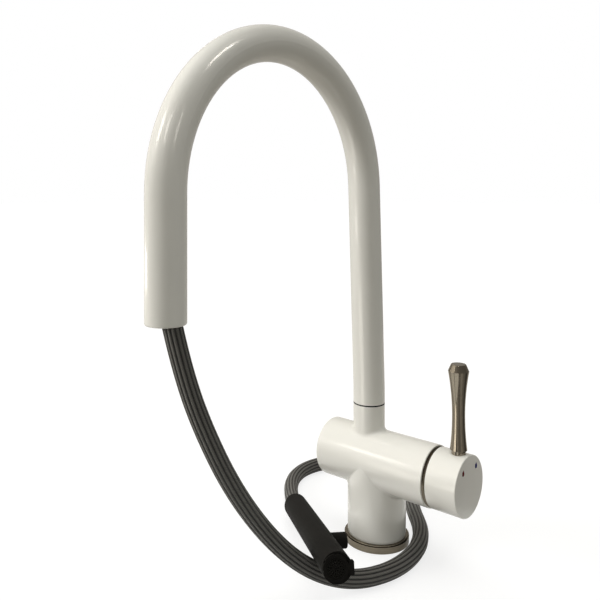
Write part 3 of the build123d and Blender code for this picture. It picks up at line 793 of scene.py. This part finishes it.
@dataclass
class TemperatureMark:
    """Drop of lacquer on the handle's end face, blunt below and pointed above."""

    name: str
    slot: Slot
    replaced: str
    centre: tuple[float, float]
    face_x: float = 88.4 * MM
    half_width: float = 1.6 * MM
    height: float = 5.2 * MM
    depth: float = 0.4 * MM
    proud: float = 0.02 * MM
    rim: float = 0.1 * MM
    corners: int = 28
    # Brings the outline's curve, which is 0.77 at its widest, to the full width
    fullness: float = 1.3

    def outline(self) -> list[tuple[float, float]]:
        """Drop outline in the face's plane: a point on top of a round belly.

        Returns:
            Places across and up from the mark's centre.
        """
        places = []
        for k in range(self.corners):
            angle = 2 * math.pi * k / self.corners
            width = self.fullness * math.sin(angle) * abs(math.sin(angle / 2))
            places.append((self.half_width * width, 0.5 * self.height * math.cos(angle)))
        return places

    def build(self, workshop: Workshop) -> bpy.types.Object:
        """Models the mark in place of the CAD mark: a drop, extruded, with an eased rim.

        Args:
            workshop: Finishes.

        Returns:
            The mark.
        """
        deselect_all()
        back = self.face_x + self.proud - self.depth
        bpy.ops.mesh.primitive_circle_add(
            vertices=self.corners, radius=self.half_width, fill_type="NGON", location=(back, *self.centre)
        )
        mark = bpy.context.object
        mark.name = self.name
        bpy.ops.object.transform_apply(location=True, rotation=True, scale=True)
        for vertex, (across, up) in zip(mark.data.vertices, self.outline()):
            vertex.co = (back, self.centre[0] + across, self.centre[1] + up)
        bpy.ops.object.mode_set(mode="EDIT")
        bpy.ops.mesh.select_all(action="SELECT")
        bpy.ops.mesh.extrude_region_move(TRANSFORM_OT_translate={"value": (self.depth, 0, 0)})
        bpy.ops.mesh.select_all(action="SELECT")
        bpy.ops.mesh.normals_make_consistent(inside=False)
        bpy.ops.object.mode_set(mode="OBJECT")
        ease_edges(mark, self.rim)
        workshop.dress(mark, self.slot)
        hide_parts(self.replaced)
        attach(mark, "handle")
        return mark


@dataclass
class CadFinishes:
    """Finishes of the CAD nodes, which keep their shapes."""

    node_steel: Mapping[str, SteelFinish] = field(default_factory=lambda: STEEL_FINISHES)

    def apply(self, frame: dict, workshop: Workshop) -> None:
        """Dresses each node in its slot's finish, or in the steel listed for it alone, whose darker tone on
        the collar and the ring is painted shade.

        Args:
            frame: The loaded frame.
            workshop: Finishes.
        """
        for entry in frame["record"]["subparts"]:
            node = frame["nodes"][entry["node"]]
            workshop.dress(node, Slot(entry["material_slot"]))
            if entry["node"] in self.node_steel:
                node.data.materials[0] = self.node_steel[entry["node"]].build()
        LOG.info("dressed %d nodes", len(frame["nodes"]))


def direction(turn_deg: float, height_deg: float) -> Vector:
    """Points towards a turn round Z and a height above the worktop, as a unit vector.

    Args:
        turn_deg: Turn from +X towards +Y.
        height_deg: Angle above the worktop.

    Returns:
        The unit vector.
    """
    turn = math.radians(turn_deg)
    height = math.radians(height_deg)
    return Vector((math.cos(turn) * math.cos(height), math.sin(turn) * math.cos(height), math.sin(height)))


@dataclass(frozen=True)
class Window:
    """Large soft light from far away: strength, how wide it looks, and where it stands."""

    name: str
    power: float
    angle_deg: float
    turn_deg: float
    height_deg: float


@dataclass(frozen=True)
class Panel:
    """Bright panel seen in reflections alone: its aim, direction from there, distance, size and level."""

    name: str
    aim: tuple[float, float, float]
    turn_deg: float
    height_deg: float
    far: float
    size: tuple[float, float]
    level: float


@dataclass
class Studio:
    """Floor, light tent, lamps and world."""

    # The floor lies just below the worktop's height, so that no face of the tap is level with it
    floor_size: float = 30.0
    floor_gap: float = 0.2 * MM
    # Its colour to the camera and in reflections, and the calmer one that it lights the tap with
    floor_seen: str = "F6F6F4"
    floor_grey: str = "7D7A73"
    floor_roughness: float = 0.85
    # To the camera it glows, and this share of its shading adds the shadow
    floor_glow: float = 0.78
    floor_share: float = 0.30
    # To other rays it glows close to the tap, and fades between these two distances
    sheet_glow: tuple[float, float] = (0.26, 0.0)
    sheet_reach: tuple[float, float] = (0.03, 0.22)
    # The world's light turns from warm to cool between these shares of +X in its direction
    warm_light: tuple[float, float, float] = (0.400, 0.388, 0.350)
    cool_light: tuple[float, float, float] = (0.300, 0.312, 0.314)
    cool_reach: tuple[float, float] = (0.2, 0.9)
    windows: tuple[Window, ...] = (
        Window("key_window", 1.88, 26.0, -131.0, 21.0),
        Window("top_window_left", 0.52, 40.0, 172.0, 70.0),
        Window("top_window_right", 0.80, 40.0, -10.0, 77.0),
    )
    panels: tuple[Panel, ...] = (
        Panel("barrel_low", BARREL_SPOT, -125.0, 24.5, 0.37, (0.085, 0.035), 8.0),
        Panel("barrel_high", BARREL_SPOT, 170.0, 60.0, 0.46, (0.16, 0.028), 8.0),
        Panel("arch_lamp", (0.004, -0.198, 0.405), 20.0, 54.0, 0.30, (0.115, 0.036), 15.0),
        Panel("arch_edge", (-0.005, -0.242, 0.350), -122.0, 33.0, 0.30, (0.06, 0.12), 10.0),
        Panel("arch_slit", (-0.001, -0.240, 0.354), -78.0, 36.0, 0.28, (0.045, 0.08), 8.0),
        Panel("arch_thread", (0.004, -0.235, 0.352), -18.0, 25.0, 0.25, (0.040, 0.07), 5.0),
    )
    # Tent and skirt are round walls; each step is a place round the wall and its brightness there
    tent_middle: tuple[float, float] = (0.0, -0.09)
    tent_radius: float = 0.42
    tent_low: float = 0.12
    tent_high: float = 1.30
    skirt_radius: float = 0.24
    wall_sides: int = 96
    tent_tone: tuple[float, float, float] = (1.0, 0.95, 0.87)
    tent_steps: tuple[tuple[float, float], ...] = (
        (0.00, 0.80),
        (0.10, 1.10),
        (0.17, 1.10),
        (0.22, 0.42),
        (0.30, 0.26),
        (0.40, 0.20),
        (0.60, 0.16),
        (0.75, 0.30),
        (0.85, 0.50),
        (1.00, 0.55),
    )
    skirt_steps: tuple[tuple[float, float], ...] = (
        (0.00, 0.60),
        (0.05, 0.55),
        (0.14, 0.55),
        (0.155, 3.00),
        (0.235, 3.00),
        (0.25, 0.18),
        (0.30, 0.16),
        (0.32, 0.45),
        (0.355, 0.45),
        (0.37, 0.22),
        (0.46, 0.22),
        (0.475, 0.40),
        (0.51, 0.40),
        (0.53, 0.26),
        (0.57, 0.22),
        (0.60, 0.09),
        (0.64, 0.07),
        (0.665, 0.50),
        (0.72, 0.50),
        (0.80, 0.80),
        (1.00, 0.60),
    )

    def build(self) -> None:
        """Makes everything that lights the object."""
        self.floor()
        self.world()
        for window in self.windows:
            self.lamp(window)
        self.wall("studio_tent", self.tent_low, self.tent_high, self.tent_radius, self.tent_steps)
        self.wall("studio_skirt", 0.0, self.tent_low, self.skirt_radius, self.skirt_steps)
        for panel in self.panels:
            self.light_panel(panel)
        LOG.info("studio with %d windows and %d panels", len(self.windows), len(self.panels))

    def floor(self) -> None:
        """Plain floor: pale with the object's shadow to the camera, and a calmer grey as a light source."""
        deselect_all()
        bpy.ops.mesh.primitive_plane_add(size=self.floor_size, location=(0, 0, -self.floor_gap))
        floor = bpy.context.object
        floor.name = "studio_floor"
        recipe = Recipe(bpy.data.materials.new("studio_floor"))
        ray = recipe.add("LightPath").outputs
        seen_by = {0: ray["Is Camera Ray"], 1: ray["Is Transmission Ray"]}
        shown = recipe.add("Math", seen_by, operation="MAXIMUM")
        pale = recipe.add("Math", {0: shown, 1: ray["Is Glossy Ray"]}, operation="MAXIMUM")
        tones = {"Factor": pale, "A": linear(self.floor_grey), "B": linear(self.floor_seen)}
        tone = recipe.add("Mix", tones, data_type="RGBA")
        matt = recipe.own("Principled BSDF")
        recipe.fill(matt, {"Base Color": tone, "Roughness": self.floor_roughness})
        where = recipe.add("TexCoord").outputs["Object"]
        distance = recipe.add("VectorMath", {0: where}, operation="LENGTH")
        reach = {"From Min": self.sheet_reach[0], "From Max": self.sheet_reach[1]}
        level = {"To Min": self.sheet_glow[0], "To Max": self.sheet_glow[1]}
        fade = recipe.add("MapRange", {"Value": distance, **reach, **level})
        sheet = recipe.add("Emission", {"Strength": fade})
        bounced = recipe.add("AddShader", {0: sheet, 1: matt})
        nothing = recipe.add("Emission", {"Strength": 0.0})
        part = recipe.add("MixShader", {"Fac": self.floor_share, 1: nothing, 2: matt})
        glow = recipe.add("Emission", {"Strength": self.floor_glow})
        both = recipe.add("AddShader", {0: glow, 1: part})
        surface = recipe.add("MixShader", {"Fac": shown, 1: bounced, 2: both})
        recipe.fill(recipe.own("Material Output"), {"Surface": surface})
        floor.data.materials.append(recipe.block)

    def world(self) -> None:
        """White to the camera; as light a soft grey, warm in general and cooler from the right."""
        world = bpy.data.worlds.new("studio_world")
        bpy.context.scene.world = world
        recipe = Recipe(world)
        ray = recipe.add("LightPath").outputs
        seen_by = {0: ray["Is Camera Ray"], 1: ray["Is Transmission Ray"]}
        shown = recipe.add("Math", seen_by, operation="MAXIMUM")
        place = recipe.add("SeparateXYZ", {0: recipe.add("TexCoord").outputs["Generated"]}).outputs
        reach = {"From Min": self.cool_reach[0], "From Max": self.cool_reach[1]}
        turn = recipe.add("MapRange", {"Value": place["X"], **reach})
        tones = {"Factor": turn, "A": (*self.warm_light, 1.0), "B": (*self.cool_light, 1.0)}
        light = recipe.add("Mix", tones, data_type="RGBA")
        white = (1.0, 1.0, 1.0, 1.0)
        colour = recipe.add("Mix", {"Factor": shown, "A": light, "B": white}, data_type="RGBA")
        recipe.fill(recipe.own("Background"), {"Color": colour})

    def lamp(self, window: Window) -> None:
        """Makes a window's lamp, for matt light only.

        Args:
            window: The window.
        """
        data = bpy.data.lights.new(window.name, "SUN")
        data.energy = window.power
        data.angle = math.radians(window.angle_deg)
        lamp = bpy.data.objects.new(window.name, data)
        inwards = -direction(window.turn_deg, window.height_deg)
        lamp.rotation_euler = inwards.to_track_quat("-Z", "Y").to_euler()
        lamp.visible_glossy = False
        bpy.context.collection.objects.link(lamp)

    def light_panel(self, panel: Panel) -> None:
        """Makes a bright panel that only reflections see.

        Args:
            panel: The panel.
        """
        deselect_all()
        towards = direction(panel.turn_deg, panel.height_deg)
        place = Vector(panel.aim) + towards * panel.far
        facing = towards.to_track_quat("Z", "Y").to_euler()
        bpy.ops.mesh.primitive_plane_add(size=1.0, location=place, rotation=facing)
        plane = bpy.context.object
        plane.name = panel.name
        plane.scale = (*panel.size, 1.0)
        recipe = Recipe(bpy.data.materials.new(panel.name))
        glow = recipe.add("Emission", {"Strength": panel.level, "Color": (*self.tent_tone, 1.0)})
        recipe.fill(recipe.own("Material Output"), {"Surface": glow})
        recipe.block.cycles.emission_sampling = "FRONT_BACK"
        plane.data.materials.append(recipe.block)
        self.only_in_reflections(plane)

    def only_in_reflections(self, thing: bpy.types.Object) -> None:
        """Hides a staged thing from every ray but reflected ones.

        Args:
            thing: Panel or wall.
        """
        thing.visible_camera = False
        thing.visible_diffuse = False
        thing.visible_shadow = False
        thing.visible_transmission = False

    def wall(
        self, name: str, low: float, high: float, foot_radius: float, steps: Sequence[tuple[float, float]]
    ) -> None:
        """Round wall of the light tent, seen in reflections alone: white panels with darker gaps.

        Args:
            name: Name of the wall.
            low: Height of its lower edge.
            high: Height of its upper edge, where it has the tent's radius.
            foot_radius: Radius at the lower edge.
            steps: Brightness round the wall, by share of the full turn from the -X side.
        """
        deselect_all()
        bpy.ops.mesh.primitive_cylinder_add(
            vertices=self.wall_sides,
            radius=self.tent_radius,
            depth=high - low,
            end_fill_type="NOTHING",
            location=(*self.tent_middle, (high + low) / 2),
        )
        wall = bpy.context.object
        wall.name = name
        select_parts(wall, MeshPart.EDGE, lambda edge: all(vertex.co.z < 0 for vertex in edge.verts))
        share = foot_radius / self.tent_radius
        bpy.ops.transform.resize(value=(share, share, 1.0), center_override=(*self.tent_middle, low))
        bpy.ops.object.mode_set(mode="OBJECT")
        recipe = Recipe(bpy.data.materials.new(name))
        place = recipe.add("SeparateXYZ", {0: recipe.add("TexCoord").outputs["Object"]}).outputs
        angle = recipe.add("Math", {0: place["Y"], 1: place["X"]}, operation="ARCTAN2")
        turn = recipe.add("MapRange", {"Value": angle, "From Min": -math.pi, "From Max": math.pi})
        stops = [(at, (*(level * tone for tone in self.tent_tone), 1.0)) for at, level in steps]
        colour = recipe.add("ValToRGB", {"Fac": turn}, stops)
        glow = recipe.add("Emission", {"Strength": 1.0, "Color": colour})
        recipe.fill(recipe.own("Material Output"), {"Surface": glow})
        wall.data.materials.append(recipe.block)
        self.only_in_reflections(wall)


@dataclass(frozen=True)
class PhotoCamera:
    """Camera at the photograph's place: level, with its horizon above the picture's middle."""

    place: tuple[float, float, float] = (0.3413, -0.5235, 0.3118)
    azimuth_deg: float = 42.66
    # Tilt up from straight down
    level_deg: float = 90.0
    focal_px: float = 687.3
    axis_px: tuple[float, float] = (260.9, 190.0)
    picture_px: float = 600.0
    sensor_mm: float = 36.0
    nearest: float = 0.01

    def build(self) -> None:
        """Makes the camera and sets it as the scene's."""
        data = bpy.data.cameras.new("photo_camera")
        data.sensor_fit = "HORIZONTAL"
        data.sensor_width = self.sensor_mm
        data.lens = self.sensor_mm * self.focal_px / self.picture_px
        middle = self.picture_px / 2
        data.shift_x = (middle - self.axis_px[0]) / self.picture_px
        data.shift_y = (self.axis_px[1] - middle) / self.picture_px
        data.clip_start = self.nearest
        camera = bpy.data.objects.new("photo_camera", data)
        camera.location = self.place
        camera.rotation_euler = (math.radians(self.level_deg), 0, math.radians(self.azimuth_deg))
        bpy.context.collection.objects.link(camera)
        bpy.context.scene.camera = camera


def main() -> None:
    """Loads the frame, dresses it and sets the studio."""
    logging.basicConfig(level=logging.INFO, format="%(name)s: %(message)s")
    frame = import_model()
    bpy.context.scene.view_settings.view_transform = "Standard"
    workshop = Workshop()
    workshop.open()
    PhotoCamera().build()
    makers = (
        PullOutHose(),
        SwivelSeam(),
        TemperatureMark("hot_drop", Slot.HOT, "hot_mark", (-10.5 * MM, 85.5 * MM)),
        TemperatureMark("cold_drop", Slot.COLD, "cold_mark", (12.3 * MM, 85.5 * MM)),
    )
    for maker in makers:
        piece = maker.build(workshop)
        LOG.info("%s with %d faces", piece.name, len(piece.data.polygons))
    CadFinishes().apply(frame, workshop)
    Studio().build()


if __name__ == "__main__":
    main()
